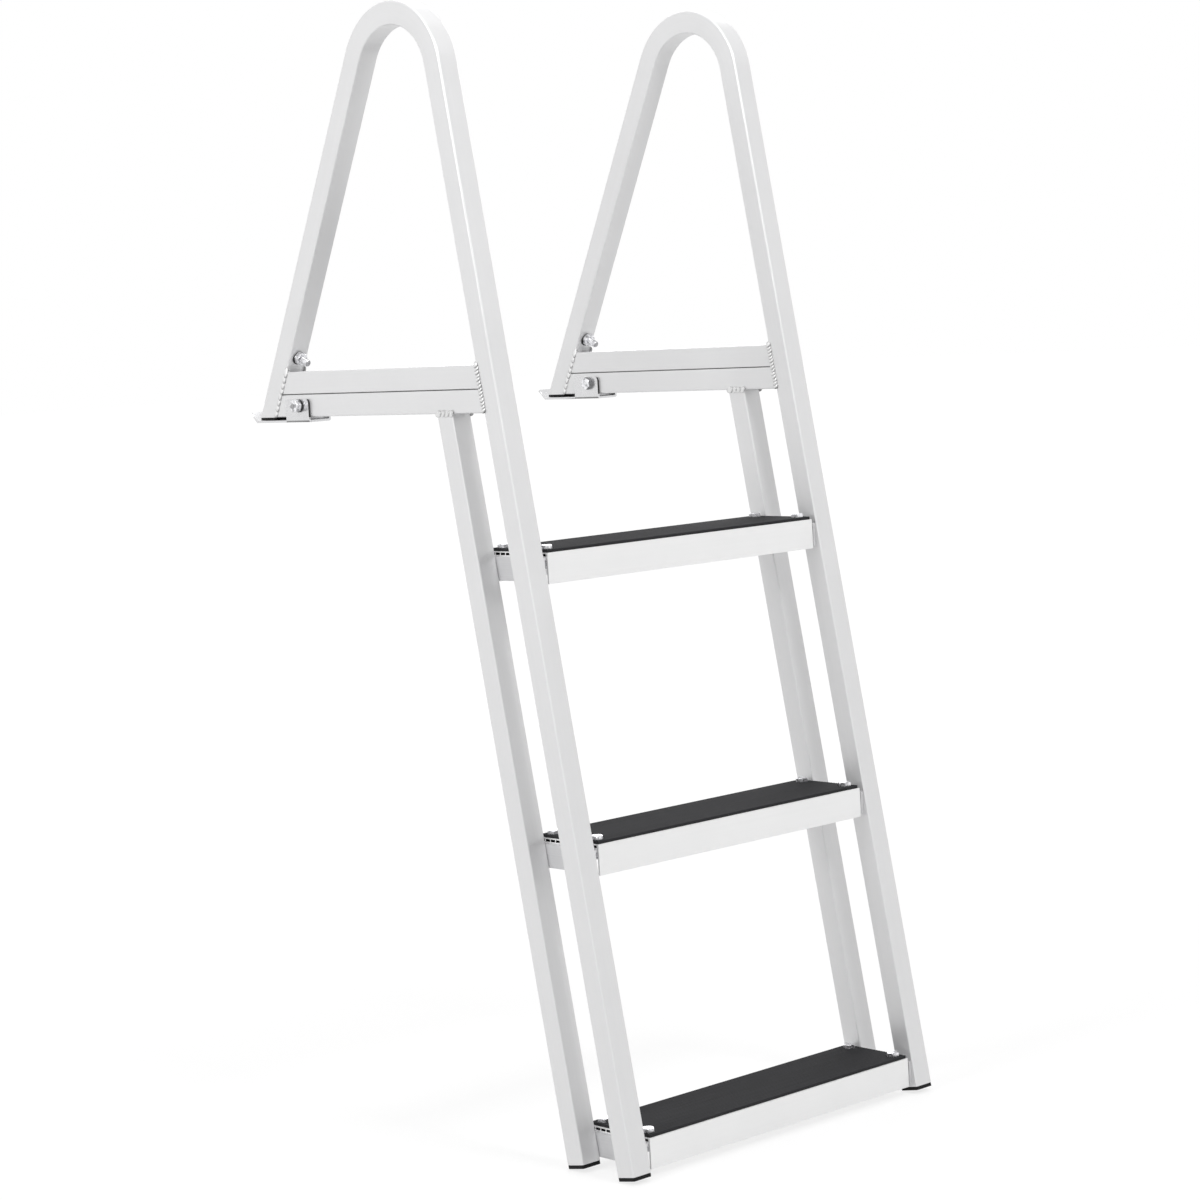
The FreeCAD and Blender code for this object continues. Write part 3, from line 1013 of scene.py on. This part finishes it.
@dataclass
class StepPads(Assembly):
    """Ribbed rubber pads, modelled once and copied to each step."""

    finishes: Finishes
    ribs: int = 24
    groove: float = 0.7 * MILLIMETRE
    rib_steps: int = 3
    rim: float = 0.3 * MILLIMETRE
    rim_degrees: float = 60.0
    smooth_degrees: float = 50.0
    long_side: float = 0.999

    def build(self) -> None:
        """Models the top step's pad and copies it to the others."""
        low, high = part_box("step_pad_top")
        master = self._ribbed_slab(low, high)
        for step in Step:
            name = "step_pad_" + step.value
            shift = Matrix.Translation(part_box(name)[0] - low)
            pad = BENCH.copy(master, "rib_pad_" + step.value, shift)
            self.finish(pad, self.finishes.rubber, Slot.RUBBER, [name])
        BENCH.drop(master)

    def _ribbed_slab(self, low: Vector, high: Vector) -> Piece:
        """One rib repeated side by side, closed at the long edges.

        Args:
            low: The pad's lowest corner.
            high: Its highest corner.

        Returns:
            The slab.
        """
        size = high - low
        pitch = size.y / self.ribs
        place = Vector(((low.x + high.x) / 2, low.y + pitch / 2, (low.z + high.z) / 2))
        BENCH.clear()
        bpy.ops.mesh.primitive_cube_add(size=1, location=place, scale=(size.x, pitch, size.z))
        slab = BENCH.settle("rib_master")
        near = self.groove / 10
        top = high.z - near
        BENCH.pick(slab, Pick.EDGE, lambda a, b: min(a.z, b.z) > top and abs(a.y - b.y) < near)
        bpy.ops.mesh.bevel(offset=self.groove, segments=self.rib_steps, affect="EDGES")
        BENCH.pick(slab, Pick.FACE, lambda face: abs(face.normal.y) > self.long_side)
        bpy.ops.mesh.delete(type="FACE")
        BENCH.repeat(slab, self.ribs, (0, pitch, 0))
        for edge_y in (low.y, high.y):
            BENCH.pick(slab, Pick.VERT, lambda v: abs(v.co.y - edge_y) < SAME_PLACE)
            bpy.ops.mesh.edge_face_add()
        BENCH.bevel(slab, self.rim, self.rim_degrees)
        BENCH.smooth(slab, self.smooth_degrees)
        return slab


@dataclass
class Fasteners(Assembly):
    """Hexagon bolts, nuts and washers in the steps, the dock brackets and the dock-side legs."""

    sizes: Measures
    finishes: Finishes
    shank: float = 8.0 * MILLIMETRE
    thread_pitch: float = 1.25 * MILLIMETRE
    thread_depth: float = 0.62 * MILLIMETRE
    tip_taper: float = 0.86
    hexagon: float = 13.0 * MILLIMETRE
    face_share: float = 0.475
    head: float = 5.3 * MILLIMETRE
    nut: float = 6.5 * MILLIMETRE
    nut_turn: float = 0.35
    washer: float = 14.4 * MILLIMETRE
    # How far the near-black washer is moved down the leg, so that it shows below the nut as
    # painted shadow.
    washer_shadow_drop: float = 1.8 * MILLIMETRE
    washer_thickness: float = 1.6 * MILLIMETRE
    chamfer_angle: float = math.radians(30.0)
    edge: float = 0.2 * MILLIMETRE
    edge_degrees: float = 40.0
    smooth_degrees: float = 35.0
    round_sides: int = 32
    rim_sides: int = 64
    cone_sides: int = 96
    step_from_end: float = 10.0 * MILLIMETRE
    step_spacing: float = 66.0 * MILLIMETRE
    above_bar: float = 22.0 * MILLIMETRE
    angle_thickness: float = 3.0 * MILLIMETRE
    sunk: float = 1.2 * MILLIMETRE
    step_tip: float = 3.0 * MILLIMETRE
    hand_tip: float = 11.0 * MILLIMETRE
    seed: int = 4
    step_turn: float = math.radians(17)
    step_turn_spread: float = 0.08
    bracket_turn: float = math.radians(3)
    hand_turn: float = math.radians(20)
    # How dark the painted shade on the thread's end and on the bracket heads' sides is.
    tip_shade: float = 0.55
    side_shade: float = 0.7

    def build(self) -> None:
        """Builds the bolts of the steps, the brackets and the legs."""
        self.step_bolts()
        self.bracket_bolts()
        self.handrail_bolts()

    def _hexagon(self, height: float, both_ends: bool) -> Piece:
        """Hexagonal prism with its corners chamfered, from z = 0 up.

        Args:
            height: Its height.
            both_ends: Whether the lower end is chamfered too.

        Returns:
            The prism.
        """
        middle = height / 2
        prism = BENCH.cylinder("hexagon", 6, self.hexagon / math.sqrt(3), height, middle)
        narrow = self.face_share * self.hexagon
        wide = narrow + height / math.tan(self.chamfer_angle)
        for turn in (0.0, math.pi) if both_ends else (0.0,):
            BENCH.clear()
            bpy.ops.mesh.primitive_cone_add(
                vertices=self.cone_sides,
                radius1=wide,
                radius2=narrow,
                depth=height,
                location=(0, 0, middle),
                rotation=(turn, 0, 0),
            )
            cone = BENCH.settle("chamfer_cone")
            BENCH.modify(prism, "BOOLEAN", operation="INTERSECT", object=cone, solver="EXACT")
            BENCH.drop(cone)
        BENCH.bevel(prism, self.edge, self.edge_degrees)
        return prism

    def _disc(self, top: float) -> Piece:
        """Washer below a height, with its rim rounded.

        Args:
            top: Height of its upper face.

        Returns:
            The washer.
        """
        thickness = self.washer_thickness
        middle = top - thickness / 2
        disc = BENCH.cylinder("washer", self.rim_sides, self.washer / 2, thickness, middle)
        BENCH.bevel(disc, self.edge, self.edge_degrees)
        BENCH.smooth(disc, self.smooth_degrees)
        return disc

    def _thread(self, top: float, bottom: float) -> Piece:
        """Threaded end between two heights, with a chamfered tip.

        Args:
            top: Where the thread starts.
            bottom: Where the tip ends.

        Returns:
            The threaded end.
        """
        pitch = self.thread_pitch
        crest = self.shank / 2
        root = crest - self.thread_depth
        count = max(2, int((top - bottom - self.thread_depth) / pitch))
        start = bottom + self.thread_depth + count * pitch
        ridge = start - pitch / 2
        thread = BENCH.cylinder(
            "thread", self.round_sides, crest, pitch, ridge, end_fill_type="NOTHING"
        )
        BENCH.pick_all(thread)
        bpy.ops.mesh.bisect(plane_co=(0, 0, ridge), plane_no=(0, 0, 1))
        BENCH.pick(thread, Pick.VERT, lambda v: abs(v.co.z - ridge) > pitch / 4)
        self._narrow(root / crest, 0)
        BENCH.repeat(thread, count, (0, 0, -pitch))
        lowest = start - count * pitch
        BENCH.pick(thread, Pick.VERT, lambda v: v.co.z > start - SAME_PLACE)
        bpy.ops.mesh.edge_face_add()
        BENCH.pick(thread, Pick.VERT, lambda v: v.co.z < lowest + SAME_PLACE)
        bpy.ops.mesh.edge_face_add()
        BENCH.extrude((0, 0, bottom - lowest))
        self._narrow(self.tip_taper, bottom)
        return thread

    @staticmethod
    def _narrow(share: float, level: float) -> None:
        """Draws the selection in towards the Z axis."""
        bpy.ops.transform.resize(value=(share, share, 1), center_override=(0, 0, level))

    def _bolt(self, grip: float, tip: float, head_shade: float = 0.0) -> Piece:
        """A bolt along Z, with its head's seat at z = 0 and its nut below.

        Args:
            grip: Thickness between the head and the nut.
            tip: How far its end stands out of the nut.
            head_shade: How dark the painted shade on its head's sides is.

        Returns:
            The bolt and its nut as one piece.
        """
        nut_bottom = -grip - self.nut
        head = self._hexagon(self.head, False)
        nut = self._hexagon(self.nut, True)
        lowering = Matrix.Translation((0, 0, nut_bottom))
        nut.data.transform(lowering @ Matrix.Rotation(self.nut_turn, 4, "Z"))
        thread_top = nut_bottom + self.nut / 2
        thread = self._thread(thread_top, nut_bottom - tip)
        shank = BENCH.cylinder(
            "shank", self.round_sides, self.shank / 2, -thread_top, thread_top / 2
        )
        bolt = BENCH.join([head, nut, thread, shank], "bolt_master")
        BENCH.smooth(bolt, self.smooth_degrees)
        painted_shade = nut_bottom - tip + self.thread_depth

        def darkness(face: Face) -> float:
            """Painted shade on the end of the thread, and on the head's sides as asked."""
            on_side = face.center.z > 0 and abs(face.normal.z) < FACING
            return self.tip_shade if face.center.z < painted_shade else head_shade * on_side

        self.darken(bolt, darkness)
        return bolt

    def _aimed(self, seat: Vector, axis: Vector, spin: float) -> Matrix:
        """Placing of a bolt with its head's seat at a point and its head along an axis."""
        turn = axis.to_track_quat("Z", "Y").to_matrix().to_4x4()
        return Matrix.Translation(seat) @ turn @ Matrix.Rotation(spin, 4, "Z")

    def _set(
        self, master: Piece, name: str, placing: Matrix, material: Material, *nodes: str
    ) -> None:
        """Copies a fastener to its place and dresses it."""
        self.finish(BENCH.copy(master, name, placing), material, Slot.STEEL, nodes)

    def step_bolts(self) -> None:
        """Four bolts down through each step's pad, plank and angle brackets."""
        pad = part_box("step_pad_top")[1].z - self.sunk
        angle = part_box("step_angle_top_left")[1].z - self.angle_thickness
        master = self._bolt(pad - angle, self.step_tip)
        spins = random.Random(self.seed)
        for step in Step:
            low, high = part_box("step_tread_" + step.value)
            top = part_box("step_pad_" + step.value)[1].z - self.sunk
            middle = (low.y + high.y) / 2
            rows = (middle - self.step_spacing / 2, middle + self.step_spacing / 2)
            ends = (low.x + self.step_from_end, high.x - self.step_from_end)
            for number, (x, y) in enumerate([(x, y) for x in ends for y in rows], 1):
                spread = self.step_turn_spread
                spin = self.step_turn + spins.uniform(-spread, spread)
                placing = self._aimed(Vector((x, y, top)), Vector((0, 0, 1)), spin)
                name = "step_bolt_%s_%d" % (step.value, number)
                self._set(master, name, placing, self.finishes.zinc)
        BENCH.drop(master)

    def bracket_bolts(self) -> None:
        """One bolt through each dock bracket and lower bar, with its nut outside."""
        low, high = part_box("dock_bracket_left")
        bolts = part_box("bracket_bolts")
        middle = (bolts[0] + bolts[1]) / 2
        tip = low.x - bolts[0].x - self.nut - self.washer_thickness
        grip = high.x - low.x
        # The bracket bolt's head sides carry painted shade.
        master = self._bolt(grip + self.washer_thickness, tip, self.side_shade)
        washer = self._disc(-grip)
        for side in Side:
            low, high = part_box("dock_bracket_" + side.value)
            inner = high.x if side is Side.LEFT else low.x
            seat = Vector((inner, middle.y, middle.z))
            placing = self._aimed(seat, Vector((-side.outward, 0, 0)), self.bracket_turn)
            # The near-black washer stands for the shade beside the nut.
            for kind, part, material in (
                ("bracket_bolt_", master, self.finishes.zinc),
                ("bracket_washer_", washer, self.finishes.washer),
            ):
                self._set(part, kind + side.value, placing, material, "bracket_bolts")
        BENCH.drop(master)
        BENCH.drop(washer)

    def handrail_bolts(self) -> None:
        """One bolt square through each dock-side leg, with its nut on the water side."""
        size = self.sizes
        master = self._bolt(size.tube + self.washer_thickness, self.hand_tip)
        washer = self._disc(-size.tube)
        for side in Side:
            path = RailPath(size, side)
            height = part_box("upper_bar_" + side.value)[1].z + self.above_bar
            along = (path.end.z - height) / math.cos(size.hand)
            seat = path.end + size.descend * along + size.dockward * size.half
            placing = self._aimed(seat, size.dockward, self.hand_turn)
            # The near-black washer is moved down the leg to show below the nut as painted shadow.
            shadow_placing = Matrix.Translation(size.descend * self.washer_shadow_drop) @ placing
            self._set(master, "handrail_bolt_" + side.value, placing, self.finishes.zinc)
            self._set(washer, "handrail_washer_" + side.value, shadow_placing, self.finishes.washer)
        BENCH.drop(master)
        BENCH.drop(washer)


@dataclass(frozen=True)
class BeadStyle:
    """How a bead is laid: its scales' sizes in mm, angles in degrees, and how light the painted
    shade in its crevices is.
    """

    width: float
    pitch: float
    height: float
    tilt: float
    slant: float
    clean: float


@dataclass
class Welds(Assembly):
    """Weld beads of overlapping scales at the bars' ends and the rear legs' tops."""

    sizes: Measures
    finishes: Finishes
    front: BeadStyle = BeadStyle(7.8, 3.4, 1.5, 17, 26, 0.25)
    hand: BeadStyle = BeadStyle(6.4, 6.2, 1.2, 8, 14, 0.35)
    leg: BeadStyle = BeadStyle(7.6, 5.8, 1.5, 12, 14, 0.45)
    overlap: float = 1.12
    scale_sides: int = 14
    scale_rings: int = 8
    shoulder: float = 0.5
    flattening: float = 0.82
    underside: float = -0.35
    smooth_degrees: float = 50.0
    seed: int = 11
    wander: float = 0.25 * MILLIMETRE
    width_draw: tuple[float, float] = (0.9, 1.06)
    height_draw: tuple[float, float] = (0.85, 1.15)
    slant_draw: tuple[float, float] = (0.7, 1.2)

    def build(self) -> None:
        """Lays the beads on both faces of both sides."""
        scale = self._scale()
        draw = random.Random(self.seed)
        for side in Side:
            path = RailPath(self.sizes, side)
            lines = self._lines(path)
            for face, sign in (("outer", side.outward), ("inner", -side.outward)):
                x = path.foot.x + sign * self.sizes.half
                for place, (line, style) in lines.items():
                    name = "weld_%s_%s_%s" % (place, side.value, face)
                    bead = self._bead(scale, name, line, style, x, sign, draw)
                    self.finish(bead, self.finishes.weld, Slot.TUBE)
        BENCH.drop(scale)

    def _lines(self, path: RailPath) -> dict[str, tuple[Sequence[Vector], BeadStyle]]:
        """Where the beads of one side run: up both ends of the bars and over the rear leg.

        Args:
            path: The side's rail.

        Returns:
            Each bead's two ends and its style, by its place.
        """
        size = self.sizes
        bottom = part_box("lower_bar_" + path.side.value)[0].z
        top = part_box("upper_bar_" + path.side.value)[1].z
        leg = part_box("rear_leg_" + path.side.value)
        inset = self.leg.pitch * MILLIMETRE / 2
        wide = size.tube / math.cos(size.lean)
        over_leg = [Vector((0, y, bottom)) for y in (leg[1].y - wide + inset, leg[1].y - inset)]
        lines = {}
        for name, face, direction, style in (
            ("front", path.rear_face, size.climb, self.front),
            ("hand", path.hand_face, size.descend, self.hand),
        ):
            levels = (bottom + style.pitch * MILLIMETRE, top)
            ends = [face + direction * ((z - face.z) / direction.z) for z in levels]
            lines[name] = (ends, style)
        lines["leg"] = (over_leg, self.leg)
        return lines

    def _scale(self) -> Piece:
        """One flattened round scale of half-size 1, which the beads repeat.

        Returns:
            The scale.
        """
        BENCH.clear()
        rings = self.scale_rings
        bpy.ops.mesh.primitive_uv_sphere_add(segments=self.scale_sides, ring_count=rings, radius=1)
        scale = BENCH.settle("weld_scale")
        BENCH.pick(scale, Pick.VERT, lambda v: v.co.z > self.shoulder)
        centre = (0, 0, self.shoulder)
        bpy.ops.transform.resize(value=(1, 1, self.flattening), center_override=centre)
        BENCH.pick_all(scale)
        BENCH.cut(Vector((0, 0, self.underside)), Vector((0, 0, -1)))
        BENCH.take(scale)
        bpy.ops.object.shade_smooth_by_angle(angle=math.radians(self.smooth_degrees))
        # Painted light: 1 at the scale's middle, down to 0 at its rim, where the crevice gets
        # painted shade.
        crown = scale.data.attributes.new(Mark.CROWN.value, "FLOAT", "POINT")
        for vertex, item in zip(scale.data.vertices, crown.data):
            item.value = max(0.0, 1.0 - vertex.co.x ** 2 - vertex.co.y ** 2 / 2)
        return scale

    def _bead(
        self,
        scale: Piece,
        name: str,
        line: Sequence[Vector],
        style: BeadStyle,
        x: float,
        sign: float,
        draw: random.Random,
    ) -> Piece:
        """A row of tilted scales along a line on a side face.

        Args:
            scale: The scale to copy.
            name: The bead's name.
            line: The row's two ends.
            style: How the bead is laid.
            x: The side face.
            sign: The face's direction along X.
            draw: Seeded draws that keep it hand-made.

        Returns:
            The bead.
        """
        start, end = line
        reach = end - start
        reach.x = 0
        pitch = style.pitch * MILLIMETRE
        count = int(reach.length / pitch)
        along = reach.normalized()
        out = Vector((sign, 0, 0))
        across = out.cross(along)
        turn = Matrix((along, across, out)).transposed().to_4x4()
        tilt = Matrix.Rotation(math.radians(style.tilt), 4, "Y")
        scales = []
        for number in range(count + 1):
            share = number / count
            middle = start + reach * share + across * draw.uniform(-self.wander, self.wander)
            middle.x = x
            half_width = style.width * MILLIMETRE / 2 * draw.uniform(*self.width_draw)
            height = style.height * MILLIMETRE * draw.uniform(*self.height_draw)
            shape = Matrix.Diagonal((pitch * self.overlap, half_width, height, 1))
            angle = math.radians(style.slant) * draw.uniform(*self.slant_draw)
            lay = turn @ Matrix.Rotation(angle, 4, "Z") @ tilt
            placing = Matrix.Translation(middle) @ lay @ shape
            scales.append(BENCH.copy(scale, "%s_%d" % (name, number), placing))
        bead = BENCH.join(scales, name)
        # Lifts the painted shade in the crevices to the style's lightest.
        for item in bead.data.attributes[Mark.CROWN.value].data:
            item.value = style.clean + (1 - style.clean) * item.value
        return bead


@dataclass
class EdgedNodes(Assembly):
    """Merged copies of the CAD nodes whose shape is right, with their edges broken."""

    finishes: Finishes
    tread_edge: float = 0.2 * MILLIMETRE
    angle_edge: float = 0.25 * MILLIMETRE
    cap_edge: float = 0.5 * MILLIMETRE
    bracket_edge: float = 0.4 * MILLIMETRE
    flat_degrees: float = 1.0
    edge_degrees: float = 35.0
    smooth_degrees: float = 50.0
    ear_inside: float = 12.6 * MILLIMETRE
    bend: float = 5.5 * MILLIMETRE
    # How dark the painted shade on the bends' undersides is.
    bend_shade: float = 0.6
    bend_normals: tuple[float, float] = (-0.95, -0.2)
    plank: float = 5.0 * MILLIMETRE
    skin: float = 1.2 * MILLIMETRE

    def build(self) -> None:
        """Builds the steps, angle brackets, end caps and dock brackets."""
        looks = self.finishes
        for step in Step:
            name = "step_tread_" + step.value
            tread = self._edged(name, self.tread_edge, looks.step, Slot.STEP)
            self._darken_cells(step, tread)
            for side in Side:
                name = "step_angle_%s_%s" % (step.value, side.value)
                self._edged(name, self.angle_edge, looks.angle, Slot.ANGLE)
        for side in Side:
            for cap in ("foot_cap_front", "foot_cap_rear", "heel_cap"):
                name = "%s_%s" % (cap, side.value)
                self._edged(name, self.cap_edge, looks.plastic, Slot.PLASTIC)
            name = "dock_bracket_" + side.value
            bracket = self._edged(name, self.bracket_edge, looks.steel, Slot.STEEL, self.bend)
            self._darken_ears(side, bracket)

    def _darken_ears(self, side: Side, bracket: Piece) -> None:
        """Marks a bracket's cut ear edges near-black and paints shade on the underside of its
        bends.

        Args:
            side: The bracket's side.
            bracket: The bracket.
        """
        low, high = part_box("dock_bracket_" + side.value)
        middle = (low.x + high.x) / 2
        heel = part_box("heel_cap_" + side.value)[0].y
        lowest, highest = self.bend_normals

        def darkness(face: Face) -> float:
            """How dark a face is.

            Args:
                face: The face.

            Returns:
                1 on a cut ear edge, painted shade on a bend's underside, else 0.
            """
            if face.center.y > heel or abs(face.center.x - middle) < self.ear_inside:
                return 0.0
            if face.center.z > self.bend:
                return 1.0 if abs(face.normal.y) > FACING else 0.0
            return self.bend_shade if lowest < face.normal.z < highest else 0.0

        self.darken(bracket, darkness)

    def _darken_cells(self, step: Step, tread: Piece) -> None:
        """Paints shade on the walls of the open cells in a step's plank.

        Args:
            step: The step.
            tread: Its tread.
        """
        low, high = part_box("step_tread_" + step.value)
        ceiling = high.z - self.skin / 2
        floor = high.z - self.plank + self.skin / 2
        front, back = low.y + self.skin, high.y - self.skin

        def darkness(face: Face) -> float:
            """1 on a cell's wall, where shade is painted, else 0."""
            inside = floor < face.center.z < ceiling and front < face.center.y < back
            return 1.0 if inside and abs(face.normal.x) < FACING else 0.0

        self.darken(tread, darkness)

    def _edged(
        self, name: str, edge: float, material: Material, slot: Slot, seam: Optional[float] = None
    ) -> Piece:
        """Builds one copy that stands for its node.

        Args:
            name: The node.
            edge: Width of its broken edges.
            material: Its finish.
            slot: The record's slot for that finish.
            seam: A height at which its faces are divided.

        Returns:
            The copy.
        """
        part = BENCH.add("edged_" + name, frame["nodes"][name].data.copy())
        BENCH.pick_all(part)
        bpy.ops.mesh.remove_doubles(threshold=SAME_PLACE)
        bpy.ops.mesh.dissolve_limited(angle_limit=math.radians(self.flat_degrees))
        BENCH.bevel(part, edge, self.edge_degrees)
        if seam is not None:
            BENCH.pick_all(part)
            bpy.ops.mesh.bisect(plane_co=(0, 0, seam), plane_no=(0, 0, 1))
        BENCH.smooth(part, self.smooth_degrees)
        self.finish(part, material, slot, [name])
        return part


@dataclass(frozen=True)
class Lamp:
    """A soft box: its name, its place from the ladder's middle, its size and its power."""

    name: str
    place: tuple[float, float, float]
    size: float
    power: float


@dataclass
class Studio:
    """Pale floor, soft lamps, white world and the camera."""

    lens: float = 90.967
    sensor: float = 36.0
    eye: tuple[float, float, float] = (-2.0517, -2.7196, 0.1043)
    heading: float = math.radians(42.592)
    pitch: float = math.radians(-5.441)
    roll: float = math.radians(-3.198)
    sight: float = 100.0
    fill: float = 0.4
    floor_size: float = 60.0
    floor_gap: float = 0.5 * MILLIMETRE
    floor_tone: Colour = (0.9, 0.9, 0.9)
    bounce_tone: Colour = (0.72, 0.72, 0.72)
    floor_middle: tuple[float, float] = (0.2, -0.4)
    glow: float = 1.05
    far: float = 4.0
    near_stop: tuple[float, float] = (0.1, 0.74)
    far_stop: tuple[float, float] = (1.0, 0.97)
    boxes: tuple[Lamp, ...] = (
        Lamp("front", (0.0, -2.5, 2.3), 0.8, 44.0),
        Lamp("left", (-2.8, 0.2, 1.6), 1.2, 41.0),
        Lamp("rear", (2.6, 2.0, 1.6), 1.8, 40.0),
        Lamp("top", (0.2, 0.1, 2.8), 2.0, 12.0),
    )

    def build(self) -> None:
        """Sets the stage."""
        self.world()
        self.floor()
        self.lamps()
        self.camera()
        bpy.context.scene.view_settings.view_transform = "Standard"

    def _seen(self, sheet: ShaderSheet) -> Signal:
        """Tells the rays that see a background from those that light.

        Args:
            sheet: The sheet that reads them.

        Returns:
            1 for camera, glossy and transmission rays, else 0.
        """
        rays = ["Is %s Ray" % kind for kind in ("Camera", "Glossy", "Transmission")]
        camera, glossy, through = (sheet.node("LightPath", output=ray) for ray in rays)
        return camera.larger(glossy).larger(through)

    def world(self) -> None:
        """White where it is seen or mirrored, softer where it lights."""
        world = bpy.data.worlds.new("white_room")
        world.use_nodes = True
        bpy.context.scene.world = world
        sheet = ShaderSheet(world.node_tree)
        light = sheet.node("Background", {"Color": WHITE, "Strength": self.fill})
        shown = sheet.node("Background", {"Color": WHITE, "Strength": 1.0})
        mixed = sheet.node("MixShader", {0: self._seen(sheet), 1: light, 2: shown})
        sheet.node("OutputWorld", {"Surface": mixed})

    def floor(self) -> None:
        """Wide white floor under the feet that keeps a soft shadow."""
        BENCH.clear()
        level = CAD_BOX[0].z - self.floor_gap
        bpy.ops.mesh.primitive_plane_add(size=self.floor_size, location=(0, 0, level))
        floor = BENCH.settle("floor")
        sheet, material = ShaderSheet.material("white_floor")
        seen = self._seen(sheet)
        paint = sheet.blend(seen, shade(self.bounce_tone), shade(self.floor_tone))
        matt = sheet.node("BsdfDiffuse", {"Color": paint})
        white = sheet.node("Emission", {"Color": WHITE, "Strength": self.glow})
        ends = {0: sheet.node("TexCoord", output="Object"), 1: (*self.floor_middle, level)}
        apart = sheet.node("VectorMath", ends, "Value", operation="DISTANCE")
        share = seen * sheet.ramp(apart * (1 / self.far), self.near_stop, self.far_stop)
        mixed = sheet.node("MixShader", {0: share, 1: matt, 2: white})
        sheet.node("OutputMaterial", {"Surface": mixed})
        floor.data.materials.append(material)

    def lamps(self) -> None:
        """Soft boxes: from the front, the left, the rear right and above."""
        aim = (CAD_BOX[0] + CAD_BOX[1]) / 2
        for box in self.boxes:
            lamp = bpy.data.lights.new(box.name, "AREA")
            lamp.size = box.size
            lamp.energy = box.power
            holder = BENCH.add(box.name, lamp)
            place = Vector(box.place)
            holder.location = aim + place
            holder.rotation_euler = (-place).to_track_quat("-Z", "Y").to_euler()

    def camera(self) -> None:
        """Camera at the photograph's place and angle."""
        east, north = math.sin(self.heading), math.cos(self.heading)
        flat = math.cos(self.pitch)
        forward = Vector((east * flat, north * flat, math.sin(self.pitch)))
        level = Vector((north, -east, 0))
        upright = level.cross(forward)
        right = level * math.cos(self.roll) + upright * math.sin(self.roll)
        turn = Matrix((right, right.cross(forward), -forward)).transposed().to_4x4()
        lens = bpy.data.cameras.new("camera")
        lens.lens = self.lens
        lens.sensor_width = self.sensor
        lens.clip_end = self.sight
        holder = BENCH.add("camera", lens)
        holder.matrix_world = Matrix.Translation(self.eye) @ turn
        bpy.context.scene.camera = holder


def main() -> None:
    """Builds and dresses the ladder, piece by piece."""
    logging.basicConfig(level=logging.INFO, format="%(name)s %(message)s")
    sizes = Measures()
    finishes = Finishes.build()
    Tubework(sizes, finishes).build()
    StepPads(finishes).build()
    Fasteners(sizes, finishes).build()
    Welds(sizes, finishes).build()
    EdgedNodes(finishes).build()
    Studio().build()


if __name__ == "__main__":
    main()
